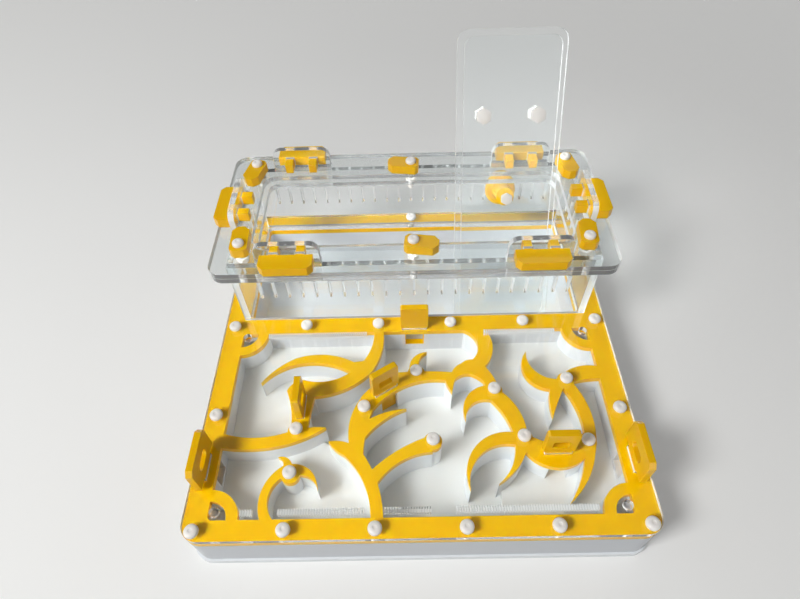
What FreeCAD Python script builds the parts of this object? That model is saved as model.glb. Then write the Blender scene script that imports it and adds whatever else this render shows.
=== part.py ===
"""Ant habitat: a flat maze nest of white board, yellow and clear acrylic sheet,
with a clear feeding box (the outworld) standing on its back half.

Millimetres. +Z is up, +Y is the back, and the origin is the centre of the underside.
Each function makes one piece, and each piece is written to parts/NODE.step.
"""
import FreeCAD
import Part
import math
import os

V = FreeCAD.Vector

# ---------------------------------------------------------------- base stack
base_w = 200.0            # width of the nest block
base_d = 195.8            # depth of the nest block
base_corner = 8.0         # radius of its upright corners
plate_t = 3.0             # bottom plate
plate_lip = 1.0           # how far the bottom plate stands out all round
body_h = 19.0             # white nest body
maze_t = 3.0              # yellow sheet
cover_t = 3.0             # clear cover sheet
border = 10.0             # solid edge left and right of the nest window
border_front = 9.2        # solid edge in front of it
nest_d = 95.8             # depth of the nest window
bar_d = 10.9              # solid bar between the nest window and the feeding box
nest_corner = 2.0         # cutter radius in the windows' corners
floor_t = 5.0             # nest floor under the middle chambers
ledge_h = 4.0             # how much higher the side chambers' floors are

# ---------------------------------------------------------------- feeding box
box_inset = 10.0          # side walls' outer faces, in from the block's sides
back_border = 8.3         # back wall's outer face, in from the block's back
wall_t = 3.0              # clear wall sheet
wall_h = 38.8             # from the cover to the rim's underside
slit_w = 1.0              # air slits in the walls
slit_h = 11.5
slit_up = 18.5            # slit's lower end above the cover
slit_pitch = 7.0
slit_margin = 10.0        # plain wall left at each end of a row

# ---------------------------------------------------------------- rim and opening
rim_t = 3.0               # each of the rim's two sheets
rim_over = 7.3            # rim's overhang past the walls
rim_corner = 7.0
rim_band_x = 10.75        # upper rim sheet, from the walls' outer faces to its opening
rim_band_y = 10.8
open_corner = 7.0
step_w = 2.6              # how much smaller the lower sheet's opening is, each side

# ---------------------------------------------------------------- tabs and keys
tab_w = 31.0              # wall tabs that come up through the rim
tab_in = 30.5             # middles of the front and back tabs, in from the side walls' outer faces
tab_up = 10.9             # tab height above the rim
tab_corner = 5.0
tab_clear = 0.2           # rim slot round a tab
key_t = 5.0               # yellow sheet of the keys and turn buttons
key_d = 8.8
key_len = 25.2
key_chamfer = 2.3
peg_w = 4.0
peg_span = 12.6           # between a key's two pegs
peg_through = 5.2         # peg beyond the tab's inner face
peg_clear = 0.25

# ---------------------------------------------------------------- turn buttons
button_l = 16.5
button_w = 8.5
button_chamfer = 2.6      # at the free end
pivot_chamfer = 1.6       # at the end with the screw
button_inset_x = 4.0      # corner screws, from the side walls' inner faces
button_inset_front = 4.6  # from the front wall's inner face
button_inset_back = 3.8   # from the back wall's inner face
middle_inset = 4.5        # front and back middle screws, from the walls' inner faces
pivot_clear = 0.3

# ---------------------------------------------------------------- fasteners
screw_r = 1.5             # M3 shank
screw_hole_r = 1.7
head_r = 3.0
button_head_r = 2.7       # smaller heads on the turn buttons
head_h = 2.2
head_edge = 0.45          # upright part of a head's edge, as a share of its height
crown_r = 0.4             # flat top, as a share of the head's radius
crown_bend = (0.84, 0.82) # point on the crown's arc, as shares of radius and height
nut_af = 5.5
nut_h = 2.4
tail_l = 3.4              # screw end below its nut
deck_screw_l = 11.0       # under the head
deck_inset_x = 5.4        # screw rows from the block's sides
deck_inset_y = 4.1        # screw rows from the block's front and back
deck_row = 6              # screws in the front and middle rows
back_row = 3              # screws in the back row
hole_past = 0.5           # screw holes go this much deeper than the screws
bar_screw_y = 3.8         # middle row, behind the nest window
pad_r = 4.2               # yellow pads round the screws in the maze

# ---------------------------------------------------------------- gates
gate_t = 3.0
gate_up = 15.5            # head above the cover
gate_clear = 0.3
maze_head = 14.1          # heads of the gates in the maze
gate_over = 1.2           # their overhang past each end of the stem
gate_chamfer = 0.8        # corners of the maze gates' heads
grip_l = 7.4              # finger slot
grip_h = 5.2
grip_r = 0.8
grip_up = 6.4             # slot's middle above the cover
door_jamb = 1.2           # how far a gate reaches into each side of its doorway
door_reach = 9.0          # doorways are cut this far to each side of a gate
gate_floor_gap = 0.4
passage_w = 10.0          # tunnel from the nest to the feeding box
passage_h = 9.8
middle_head = 14.2        # head of the middle gate
middle_gap = 1.0          # from the nest window to the middle gate
window_w = 9.0            # window in the middle gate
side_head = 22.0          # head of a side gate
side_chamfer = 2.2
side_grip_l = 9.6
side_grip_r = 2.5
side_gate_in = 24.7       # side gates, in front of the nest window's middle
side_gate_edge = 4.6      # in from the block's sides
port_w = 9.0              # tunnel to the outside under each side gate
port_h = 7.9

# ---------------------------------------------------------------- air and water
comb_pitch = 1.12         # fine air combs in the cover
comb_slot = 0.5
comb_l = 2.4
comb_inset = 1.2          # from the nest window's edge
water_r = 2.0             # watering hole over each corner well
water_in = 3.0            # its place, in from the window's corner
gusset_r = 13.0           # quarter ring round a corner well
well_r = 8.0
well_h = 8.0              # well floor below the yellow sheet

# ---------------------------------------------------------------- lid, parked upright
lid_w = 53.2
lid_l = 151.5
lid_t = 3.0               # each of its two sheets
lid_corner = 6.0
lid_step = 3.2            # the inner sheet is smaller by this much all round
lid_foot_in = 11.3        # its foot, from the front wall's inner face
lid_lean = 26.8           # degrees back from upright
lid_gap = 0.3             # running gap at the floor, at the rim and at the opening's right side
hub_r = 4.75
hub_l = 15.0
knob_r = 8.25
knob_t = 3.5
knob_soft = 0.9           # cut edges of the knob's disc
lid_screw_up = 41.8       # pair of screws above the knob
lid_screw_span = 26.8
lid_screw_r = 2.0         # M4
lid_screw_clear = 0.2
lid_screw_af = 7.0
lid_head_h = 2.8
lid_nut_h = 3.2
lid_tail = 1.5

# ---------------------------------------------------------------- worked-out places
z_body = plate_t
z_maze = z_body + body_h
z_cover = z_maze + maze_t
z_deck = z_cover + cover_t
z_rim = z_deck + wall_h
z_rim_top = z_rim + 2 * rim_t
nest_w = base_w - 2 * border
nest_y0 = -base_d / 2 + border_front
nest_y1 = nest_y0 + nest_d
nest_mid = (nest_y0 + nest_y1) / 2
z_nest = z_body + floor_t
z_ledge = z_nest + ledge_h
z_tunnel = z_maze - passage_h
z_port = z_maze - port_h
z_hole = z_deck - deck_screw_l - hole_past
in_y0 = nest_y1 + bar_d
box_front = in_y0 - wall_t
box_back = base_d / 2 - back_border
box_w = base_w - 2 * box_inset
box_d = box_back - box_front
box_mid = (box_front + box_back) / 2
in_x = box_w / 2 - wall_t
in_y1 = box_back - wall_t
open_w = box_w - 2 * rim_band_x
open_d = box_d - 2 * rim_band_y
tab_at = box_w / 2 - tab_in
deck_x = base_w / 2 - deck_inset_x
deck_y = base_d / 2 - deck_inset_y
pivot_end = button_w / 2
lid_x = open_w / 2 - step_w - lid_gap - lid_w / 2

# The maze is drawn on a sheet of this width and depth with its middle at this y, and
# is stretched to the nest window.
SHEET = (180.0, 95.0, -40.1)
PAST = 100.0              # drawn x and y beyond every edge of the window


def at(x, y, z=0.0):
    """A point of the maze drawing, as a place in the nest window."""
    wide, deep, middle = SHEET
    return V(x * nest_w / wide, nest_mid + (y - middle) * nest_d / deep, z)


# ================================================================ shape helpers
def box(x0, x1, y0, y1, z0, z1):
    return Part.makeBox(x1 - x0, y1 - y0, z1 - z0, V(x0, y0, z0))


def rod(x, y, z0, z1, r):
    return Part.makeCylinder(r, z1 - z0, V(x, y, z0))


def round_rect(x0, x1, y0, y1, r):
    """Face of a rectangle with round corners, in the XY plane."""
    k = r * (1 - math.sqrt(0.5))
    corners = [(x1, y1, -1, -1), (x0, y1, 1, -1), (x0, y0, 1, 1), (x1, y0, -1, 1)]
    edges = []
    last = None
    first = None
    for i, (x, y, sx, sy) in enumerate(corners):
        a = V(x, y + sy * r, 0)
        b = V(x + sx * r, y, 0)
        if i % 2:
            a, b = b, a
        if last:
            edges.append(Part.makeLine(last, a))
        else:
            first = a
        edges.append(Part.Arc(a, V(x + sx * k, y + sy * k, 0), b).toShape())
        last = b
    edges.append(Part.makeLine(last, first))
    return Part.Face(Part.Wire(edges))


def slab(face, z0, z1):
    """A flat face in the XY plane, made a sheet between two heights."""
    solid = face.extrude(V(0, 0, z1 - z0))
    solid.translate(V(0, 0, z0))
    return solid


def polygon(points):
    wire = Part.makePolygon([V(x, y, 0) for x, y in points] + [V(points[0][0], points[0][1], 0)])
    return Part.Face(wire)


def chamfered(l0, l1, half, c0, c1):
    """Bar along X from l0 to l1 with its corners cut by c0 at l0 and c1 at l1."""
    return polygon([(l0 + c0, -half), (l1 - c1, -half), (l1, -half + c1), (l1, half - c1),
                    (l1 - c1, half), (l0 + c0, half), (l0, half - c0), (l0, -half + c0)])


def hexagon(af, z0, z1):
    """Hexagonal prism on the Z axis, with flats across X."""
    r = af / math.sqrt(3.0)
    pts = [(r * math.sin(math.radians(60 * i)), r * math.cos(math.radians(60 * i))) for i in range(6)]
    return slab(polygon(pts), z0, z1)


def joined(shapes):
    return shapes[0].fuse(shapes[1:]).removeSplitter()


def less(solid, cuts):
    return solid.cut(Part.makeCompound(cuts))


def pan_screw(z_seat, length, wide):
    """Pan-head screw on the Z axis with its head's underside at z_seat."""
    edge_h = head_edge * head_h
    pts = [V(0, 0, z_seat - length), V(screw_r, 0, z_seat - length), V(screw_r, 0, z_seat),
           V(wide, 0, z_seat), V(wide, 0, z_seat + edge_h)]
    edges = [Part.makeLine(a, b) for a, b in zip(pts, pts[1:])]
    crown = V(crown_r * wide, 0, z_seat + head_h)
    top = V(0, 0, z_seat + head_h)
    mid = V(crown_bend[0] * wide, 0, z_seat + crown_bend[1] * head_h)
    edges.append(Part.Arc(pts[-1], mid, crown).toShape())
    edges.append(Part.makeLine(crown, top))
    edges.append(Part.makeLine(top, pts[0]))
    return Part.Face(Part.Wire(edges)).revolve(V(0, 0, 0), V(0, 0, 1), 360)


def moved(shape, x, y, z=0.0, turn=0.0):
    copy = shape.copy()
    copy.Placement = FreeCAD.Placement(V(x, y, z), FreeCAD.Rotation(V(0, 0, 1), turn)) * copy.Placement
    return copy


# ================================================================ the maze
def arcs(points):
    """Edges through the points: a line for two, else an arc for every second point."""
    if len(points) == 2:
        return [Part.makeLine(points[0], points[1])]
    return [Part.Arc(*points[i:i + 3]).toShape() for i in range(0, len(points) - 2, 2)]


def leaf(one, other):
    """Face between two runs of arcs that start and end close together or in one tip."""
    a = [at(x, y) for x, y in one]
    b = [at(x, y) for x, y in other][::-1]
    edges = arcs(a)
    if (a[-1] - b[0]).Length > 1e-6:
        edges.append(Part.makeLine(a[-1], b[0]))
    edges += arcs(b)
    if (b[-1] - a[0]).Length > 1e-6:
        edges.append(Part.makeLine(b[-1], a[0]))
    return Part.Face(Part.Wire(edges))


# Each wall of the maze: its two long edges, west to east or root to tip.
WALLS = [
    # north-west: long crescent, and the band that it branches from
    ([(-76.6, -22.1), (-69.9, -14.2), (-60.3, -7.9), (-45, -6.3), (-29.5, -12)],
     [(-76.6, -22.1), (-66.2, -13.8), (-55.3, -11), (-43.5, -12), (-31.5, -17.5)]),
    ([(-21.3, 8), (-24.5, -7.5), (-32.4, -16.7), (-43.7, -21.7), (-55.3, -20.8)],
     [(-16.2, 8), (-17.3, -6), (-22, -16.7), (-33.7, -25.8), (-49.5, -30)]),
    # the bridge over the west gate
    ([(-55.3, -20.8), (-60.5, -22.6), (-63.3, -26.7), (-60.2, -36), (-59, -49)],
     [(-49.5, -30), (-50.6, -38), (-51.5, -48.5)]),
    # west wall, from the border to its tip
    ([(-91, -48.2), (-75, -50.8), (-60.3, -48.3), (-51, -46.2), (-42.7, -46.3)],
     [(-91, -55.3), (-77, -56.5), (-64, -55.2), (-52, -51.5), (-42.7, -46.3)]),
    # south-west hook, its leaf and its thorn
    ([(-67.2, -89), (-69.1, -77), (-60.5, -64.4)], [(-60.8, -89), (-65.4, -77.5), (-58, -68.5)]),
    ([(-60, -64.3), (-50.5, -65), (-44.5, -75)], [(-57, -70), (-50.6, -69), (-44.5, -75)]),
    ([(-60.5, -65), (-60.9, -62.4), (-63.3, -60.4)], [(-56.5, -65), (-58.4, -61.2), (-63.3, -60.4)]),
    # south trunk and the band that climbs from it
    ([(-21, -89), (-24.2, -73), (-33.7, -60), (-38.2, -56.9), (-41.2, -53.3)],
     [(-15.6, -89), (-18.2, -73), (-24.9, -59.6), (-31.5, -54.3), (-41.2, -53.3)]),
    ([(-31, -57), (-31, -40), (-24.1, -27.9)], [(-24.9, -60), (-24, -49), (-20.5, -36.5)]),
    ([(-24.6, -43.6), (-14.5, -39), (-5, -37.5)], [(-24.6, -52), (-16.5, -43.8), (-5, -37.5)]),
    # the bridge over the centre gate, and the cross wall with its leaf and drop
    ([(-27, -31), (-18.5, -22.6), (-9.5, -17.4)], [(-21.6, -38.3), (-15.5, -31.5), (-7.5, -26.2)]),
    ([(-10, -17.6), (4, -17.1), (18.8, -18)], [(-10, -27.6), (-2, -23.8), (18.6, -23.3)]),
    ([(-2.8, -17.5), (-1.4, -9.5), (5.9, -5.8)], [(2.8, -17.5), (2.2, -10), (5.9, -5.8)]),
    ([(14.4, -22.5), (15.5, -26), (17.3, -29.2)], [(19, -22.5), (18, -26), (17.3, -29.2)]),
    # south arm with a screw pad at its end
    ([(-22, -68), (-11, -59.2), (5, -51.6)], [(-19, -74), (-9, -64), (6.5, -59.2)]),
    # north loop, its arch and the stem below it
    ([(36.6, 8), (39.9, -3), (34.7, -15)], [(24, 8), (32.3, -2.5), (28.8, -10.8)]),
    ([(34.7, -15), (28.8, -10.8), (23, -12.9), (21, -14), (18, -17.5)],
     [(36, -28), (34, -24.5), (27.2, -19.2), (21.5, -20.2), (17.8, -24.4)]),
    ([(34.7, -15), (38, -20.8), (40.4, -29)], [(30, -16), (32, -21), (34.5, -28)]),
    # leaves and stem round the middle of the east side
    ([(36, -25.8), (25, -30.5), (22.8, -43.8)], [(36.5, -34), (27.5, -35), (22.8, -43.8)]),
    ([(39.5, -28), (47.5, -38), (50.3, -52)], [(34, -32), (40.5, -41), (44.3, -53)]),
    ([(46, -50.8), (26.8, -56), (22.2, -76.7)], [(46, -57), (28.8, -60.2), (22.2, -76.7)]),
    ([(50, -56), (44.4, -66.5), (34.7, -74.2)], [(44, -54), (42, -65), (34.7, -74.2)]),
    # south smile under the south gate
    ([(49.5, -51), (62, -56.3), (77, -54)], [(46.5, -56.5), (60.5, -67.6), (77, -60)]),
    # east crescent, its two leaves and its root at the border
    ([(70, -26), (76.2, -44), (74.8, -60), (71, -71.5), (63.4, -83.3)],
     [(76, -25), (81.8, -44), (79, -61.5), (73.8, -72.5), (63.4, -83.3)]),
    ([(65.6, -26), (63.3, -34.5), (63.6, -43.3)], [(72, -27), (67, -36), (63.6, -43.3)]),
    ([(56.3, -6.7), (53.5, -19.5), (67, -28.6)], [(56.3, -6.7), (59.3, -18.5), (71, -23)]),
    ([(71, -21.5), (80, -16.3), (91, -16.4)], [(73, -26), (82, -23.7), (91, -23.2)]),
    # fillets where a leaf meets its band
    ([(66.5, -27.5), (69.5, -23)], [(69.8, -27.5), (73, -23)]),
    ([(-31.5, -11), (-24, -10)], [(-33, -17.5), (-24, -16)]),
]

# Screws that go down into the maze walls, each on a round pad.
MAZE_SCREWS = [(-56.2, -47.7), (-56.9, -68.4), (-25.1, -37), (0.1, -17.9), (6.8, -54.1),
               (37.4, -28.7), (48.2, -53.3), (73, -23.9), (76.6, -55.8)]

# One drawn point inside each white wall, between the gates.
WALL_FEET = [("north_west_wall", -45, -9), ("west_wall", -75, -53), ("south_west_wall", -66, -80),
             ("south_wall", -19, -80), ("middle_wall", 10, -21), ("east_wall", 78, -44)]

# Gates that stand in the maze: name, middle, direction along the gate and the floor
# under it.
MAZE_GATES = [
    ("west_gate", -55.1, -35.5, 90.0, z_ledge),
    ("centre_gate", -15.3, -26.8, 32.2, z_nest),
    ("south_gate", 62.4, -59.6, 0.0, z_ledge),
]

# Where the air combs run along the window's front and back edges, from x to x.
FRONT_COMBS = [(-76, -70), (-60, -22), (-15, 6), (15, 76)]
BACK_COMBS = [(-76, -24), (36, 74)]


def corners():
    return [(sx, y, sy) for sx in (-1, 1) for y, sy in ((nest_y0, -1), (nest_y1, 1))]


def maze_prism(z0, z1):
    """The maze's walls and pads, trimmed to the nest window."""
    flat = [slab(leaf(one, other), 0, 1) for one, other in WALLS]
    for x, y in MAZE_SCREWS:
        p = at(x, y)
        flat.append(rod(p.x, p.y, 0, 1, pad_r))
    window = box(-nest_w / 2, nest_w / 2, nest_y0, nest_y1, 0, 1)
    shape = joined(flat).common(window)
    out = []
    for solid in shape.Solids:
        outline = [f for f in solid.Faces if abs(f.CenterOfMass.z) < 1e-6 and f.normalAt(0, 0).z < 0]
        out += [f.extrude(V(0, 0, z1 - z0)) for f in outline]
    prism = Part.makeCompound(out)
    prism.translate(V(0, 0, z0))
    return prism


def gate_places():
    """Every gate as name, x, y, direction, head length, stem length and stem's lower end."""
    stem = maze_head - 2 * gate_over
    rows = [(n, at(x, y).x, at(x, y).y, turn, maze_head, stem, floor + gate_floor_gap)
            for n, x, y, turn, floor in MAZE_GATES]
    bar_y = nest_y1 + middle_gap + gate_t / 2
    stem = passage_w + 2 * door_jamb
    rows.append(("middle_gate", 0.0, bar_y, 0.0, middle_head, stem, z_body + gate_floor_gap))
    side_x = base_w / 2 - side_gate_edge
    side_y = nest_mid - side_gate_in
    stem = port_w + 2 * door_jamb
    for name, sx in (("left_side_gate", -1), ("right_side_gate", 1)):
        rows.append((name, sx * side_x, side_y, 90.0, side_head, stem, z_port - door_jamb))
    return rows


def gate_slots(z0, z1):
    """Slots for all stems, each deep enough for its own gate."""
    cuts = []
    for _, x, y, turn, _, stem, low in gate_places():
        half = stem / 2 + gate_clear
        t = gate_t / 2 + gate_clear
        bottom = max(z0, low - gate_floor_gap)
        cuts.append(moved(box(-half, half, -t, t, bottom, z1), x, y, 0, turn))
    return cuts


def doorways(z0, z1):
    """Doorways through the maze walls, across the three gates that stand in them."""
    cuts = []
    for _, x, y, turn, _, stem, _ in gate_places()[:len(MAZE_GATES)]:
        half = stem / 2 - door_jamb
        cuts.append(moved(box(-half, half, -door_reach, door_reach, z0, z1), x, y, 0, turn))
    return cuts


# ================================================================ screws in the deck
def screw_places():
    rows = [(-deck_x, nest_mid), (deck_x, nest_mid)]
    for y, count in ((-deck_y, deck_row), (nest_y1 + bar_screw_y, deck_row), (deck_y, back_row)):
        rows += [(-deck_x + 2 * deck_x * i / (count - 1), y) for i in range(count)]
    return rows + [(at(x, y).x, at(x, y).y) for x, y in MAZE_SCREWS]


def screw_holes(z0, z1):
    return [rod(x, y, z0, z1, screw_hole_r) for x, y in screw_places()]


def deck_screws():
    one = pan_screw(z_deck, deck_screw_l, head_r)
    return Part.makeCompound([moved(one, x, y) for x, y in screw_places()])


# ================================================================ base pieces
def block_outline(grow=0.0):
    x = base_w / 2 + grow
    y = base_d / 2 + grow
    return round_rect(-x, x, -y, y, base_corner + grow)


def nest_window(z0, z1):
    return slab(round_rect(-nest_w / 2, nest_w / 2, nest_y0, nest_y1, nest_corner), z0, z1)


def outworld_window(z0, z1):
    return slab(round_rect(-in_x, in_x, in_y0, in_y1, nest_corner), z0, z1)


def bottom_plate():
    return slab(block_outline(plate_lip), 0, plate_t)


def nest_frame():
    """White block round the two windows, with its tunnels and gate slots."""
    body = slab(block_outline(), z_body, z_maze)
    tunnel = box(-passage_w / 2, passage_w / 2, nest_y1, in_y0, z_tunnel, z_maze)
    side_y = nest_mid - side_gate_in
    ports = [box(x, x + border, side_y - port_w / 2, side_y + port_w / 2, z_port, z_maze)
             for x in (-base_w / 2, nest_w / 2)]
    cuts = [nest_window(z_body, z_maze), outworld_window(z_body, z_maze), tunnel]
    cuts += ports + gate_slots(z_body, z_maze)[len(MAZE_GATES):] + screw_holes(z_hole, z_maze)
    return less(body, cuts)


def nest_floor():
    """White floor, at the depth of the middle chambers."""
    return nest_window(z_body, z_nest)


# Edges of the two higher floors, from front to back, on the maze drawing.
WEST_LEDGE = [(-18.5, -PAST), (-18.5, -89), (-21, -72), (-29, -58.5), (-36, -54), (-45, -47.5), (-53, -48),
              (-53, -25), (-40, -17), (-19, -6), (-19, PAST)]
EAST_LEDGE = [(37, -PAST), (37, -72.5), (46, -56), (47, -48), (37.5, -29), (35, -14), (37, -4), (34, PAST)]


def ledge(sx, edge):
    """White floor of one side's chambers, one step up, with its two corner wells."""
    outline = edge + [(sx * PAST, PAST), (sx * PAST, -PAST)]
    face = polygon([(at(x, y).x, at(x, y).y) for x, y in outline])
    plate = slab(face, z_nest, z_ledge).common(nest_window(z_nest, z_ledge))
    wells = [rod(cx * nest_w / 2, y, z_nest, z_maze - well_h, well_r).common(nest_window(z_nest, z_maze))
             for cx, y, _ in corners() if cx == sx]
    return joined([plate] + wells)


def gusset(sx, y, sy, z0, z1):
    """Quarter ring round the well in one corner of the nest window."""
    x = sx * nest_w / 2
    ring = rod(x, y, z0, z1, gusset_r).cut(rod(x, y, z0, z1, well_r))
    return ring.common(nest_window(z0, z1))


def corner_rings():
    """White quarter rings round the four corner wells."""
    return Part.makeCompound([gusset(*c, z_ledge, z_maze) for c in corners()])


def nest_walls():
    """White maze walls under the yellow ones: the solids between the gates, west to east."""
    prism = maze_prism(z_nest, z_maze)
    cuts = doorways(z_nest, z_maze) + gate_slots(z_nest, z_maze)[:len(MAZE_GATES)]
    cuts += screw_holes(z_hole, z_maze) + [ledge(-1, WEST_LEDGE), ledge(1, EAST_LEDGE)]
    solids = less(prism, cuts).Solids
    walls = []
    for name, x, y in WALL_FEET:
        foot = at(x, y, (z_ledge + z_maze) / 2)
        walls += [(name, solid) for solid in solids if solid.isInside(foot, 1e-3, True)]
    assert len(walls) == len(solids) == len(WALL_FEET)
    return walls


def maze_layer():
    """Yellow sheet: border, middle bar and the maze's outline in one piece."""
    sheet = slab(block_outline(), z_maze, z_cover)
    sheet = less(sheet, [nest_window(z_maze, z_cover), outworld_window(z_maze, z_cover)])
    rings = [gusset(*c, z_maze, z_cover) for c in corners()]
    sheet = joined([sheet] + rings + maze_prism(z_maze, z_cover).Solids)
    return less(sheet, gate_slots(z_maze, z_cover) + screw_holes(z_maze, z_cover))


def comb(x0, x1, y):
    count = int((x1 - x0) / comb_pitch)
    return [box(x0 + i * comb_pitch, x0 + i * comb_pitch + comb_slot, y, y + comb_l, z_cover, z_deck)
            for i in range(count)]


def cover_sheet():
    """Clear sheet over the yellow one, with its air combs and watering holes."""
    sheet = slab(block_outline(), z_cover, z_deck)
    front = nest_y0 + comb_inset
    back = nest_y1 - comb_inset - comb_l
    cuts = [outworld_window(z_cover, z_deck)]
    for x0, x1 in BACK_COMBS:
        cuts += comb(at(x0, 0).x, at(x1, 0).x, back)
    for x0, x1 in FRONT_COMBS:
        cuts += comb(at(x0, 0).x, at(x1, 0).x, front)
    for sx, y, sy in corners():
        cuts.append(rod(sx * (nest_w / 2 - water_in), y - sy * water_in, z_cover, z_deck, water_r))
    return less(sheet, cuts + gate_slots(z_cover, z_deck) + screw_holes(z_cover, z_deck))


# ================================================================ gates
def gate(name, x, y, turn, head, stem, low):
    """Lift gate: a head over the cover and a stem in the doorway.

    The middle gate has a window that lets the ants through while it is down, and the
    others have a finger slot in the head.
    """
    side = name.endswith("side_gate")
    top = z_deck + gate_up
    c = side_chamfer if side else gate_chamfer
    h = head / 2
    s = stem / 2
    face = polygon([(-s, low), (s, low), (s, z_deck), (h, z_deck), (h, top - c), (h - c, top),
                    (-h + c, top), (-h, top - c), (-h, z_deck), (-s, z_deck)])
    if name == "middle_gate":
        w = window_w / 2
        hole = polygon([(-w, z_tunnel), (w, z_tunnel), (w, z_maze), (-w, z_maze)])
    else:
        w = (side_grip_l if side else grip_l) / 2
        mid = z_deck + grip_up
        hole = round_rect(-w, w, mid - grip_h / 2, mid + grip_h / 2, side_grip_r if side else grip_r)
    plate = less(slab(face, 0, gate_t), [slab(hole, 0, gate_t)])
    plate.rotate(V(0, 0, 0), V(1, 0, 0), 90)
    plate.translate(V(0, gate_t / 2, 0))
    return moved(plate, x, y, 0, turn)


# ================================================================ feeding box
def wall_profile(length, tab_places):
    """Wall sheet with its tabs, air slits and peg slots, drawn flat."""
    half = length / 2
    parts = [slab(polygon([(-half, z_deck), (half, z_deck), (half, z_rim), (-half, z_rim)]), 0, wall_t)]
    cuts = []
    top = z_rim_top + tab_up
    for u in tab_places:
        face = round_rect(u - tab_w / 2, u + tab_w / 2, z_rim - 3 * tab_corner, top, tab_corner)
        parts.append(slab(face, 0, wall_t))
        for side in (-1, 1):
            p = u + side * peg_span / 2
            w = peg_w / 2 + peg_clear
            cuts.append(box(p - w, p + w, z_rim_top, z_rim_top + key_t + peg_clear, 0, wall_t))
    count = int((length / 2 - slit_margin) / slit_pitch)
    z = z_deck + slit_up
    for i in range(-count, count + 1):
        u = i * slit_pitch
        cuts.append(box(u - slit_w / 2, u + slit_w / 2, z, z + slit_h, 0, wall_t))
    return less(joined(parts), cuts)


def wall(length, tab_places, turn, x, y):
    solid = wall_profile(length, tab_places)
    solid.rotate(V(0, 0, 0), V(1, 0, 0), 90)
    solid.translate(V(0, wall_t / 2, 0))
    return moved(solid, x, y, 0, turn)


def front_wall():
    return wall(box_w, (-tab_at, tab_at), 0, 0, box_front + wall_t / 2)


def back_wall():
    return wall(box_w, (-tab_at, tab_at), 0, 0, box_back - wall_t / 2)


def side_wall(sx):
    return wall(box_d - 2 * wall_t, (0,), 90, sx * (box_w - wall_t) / 2, box_mid)


def tab_slots(z0, z1):
    """Slots in the rim for the six tabs."""
    a = tab_w / 2 + tab_clear
    b = wall_t / 2 + tab_clear
    places = [(sx * tab_at, y, 0) for sx in (-1, 1) for y in (box_front + wall_t / 2, box_back - wall_t / 2)]
    places += [(sx * (box_w - wall_t) / 2, box_mid, 90) for sx in (-1, 1)]
    return [moved(box(-a, a, -b, b, z0, z1), x, y, 0, turn) for x, y, turn in places]


def rim_sheet(z0, inset):
    z1 = z0 + rim_t
    x = box_w / 2 + rim_over
    sheet = slab(round_rect(-x, x, box_front - rim_over, box_back + rim_over, rim_corner), z0, z1)
    w = open_w / 2 - inset
    d = open_d / 2 - inset
    hole = slab(round_rect(-w, w, box_mid - d, box_mid + d, open_corner - inset / 2), z0, z1)
    bolts = [rod(bx, by, z0, z1, screw_hole_r) for _, bx, by, _ in button_places()]
    return less(sheet, [hole] + tab_slots(z0, z1) + bolts)


# ================================================================ keys and turn buttons
def key():
    """Flat key drawn with the wall's outer face at y = 0 and its pegs towards +Y."""
    h = key_len / 2
    c = key_chamfer
    body = polygon([(-h, 0), (-h, -key_d + c), (-h + c, -key_d), (h - c, -key_d), (h, -key_d + c), (h, 0)])
    reach = wall_t + peg_through
    pegs = []
    for side in (-1, 1):
        p = side * peg_span / 2
        w = peg_w / 2
        pegs.append(slab(polygon([(p - w, 0), (p + w, 0), (p + w, reach), (p - w, reach)]), 0, key_t))
    return joined([slab(body, 0, key_t)] + pegs)


def key_places():
    return [("front_left_key", -tab_at, box_front, 0), ("front_right_key", tab_at, box_front, 0),
            ("back_left_key", -tab_at, box_back, 180), ("back_right_key", tab_at, box_back, 180),
            ("left_key", -box_w / 2, box_mid, -90), ("right_key", box_w / 2, box_mid, 90)]


def button_places():
    """Turn buttons: name, screw place and the direction in which each points."""
    x = in_x - button_inset_x
    front = in_y0 + button_inset_front
    back = in_y1 - button_inset_back
    return [("front_left_button", -x, front, 92.0), ("front_button", 0.0, in_y0 + middle_inset, -8.0),
            ("front_right_button", x, front, 85.0), ("back_left_button", -x, back, -104.0),
            ("back_button", 0.0, in_y1 - middle_inset, 173.0), ("back_right_button", x, back, -79.0)]


def button():
    """Turn button on the Z axis, its free end towards +X."""
    outline = chamfered(-pivot_end, button_l - pivot_end, button_w / 2, pivot_chamfer, button_chamfer)
    bar = slab(outline, 0, key_t)
    return bar.cut(rod(0, 0, 0, key_t, screw_r + pivot_clear))


def button_screws():
    length = key_t + 2 * rim_t + nut_h + tail_l
    one = pan_screw(z_rim_top + key_t, length, button_head_r)
    return Part.makeCompound([moved(one, x, y) for _, x, y, _ in button_places()])


def button_nuts():
    one = hexagon(nut_af, z_rim - nut_h, z_rim).cut(rod(0, 0, z_rim - nut_h, z_rim, screw_r))
    return Part.makeCompound([moved(one, x, y) for _, x, y, _ in button_places()])


# ================================================================ lid
# The lid's pieces are drawn flat: X across, Y up the lid from its foot, Z out of its
# inner face. The lid leans in the opening, foot on the floor, and its knob's hub is behind
# the rim's lower back edge.
up_y = math.sin(math.radians(lid_lean))
up_z = math.cos(math.radians(lid_lean))
foot_y = in_y0 + lid_foot_in
foot_z = plate_t + lid_gap + 2 * lid_t * up_y
edge_y = box_mid + open_d / 2 - step_w
knob_up = (edge_y - foot_y) * up_y + (z_rim - foot_z) * up_z - hub_r - lid_gap


def lid_placement():
    return FreeCAD.Placement(V(lid_x, foot_y, foot_z), FreeCAD.Rotation(V(1, 0, 0), 90 - lid_lean))


def leaned(shape):
    shape.Placement = lid_placement() * shape.Placement
    return shape


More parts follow.
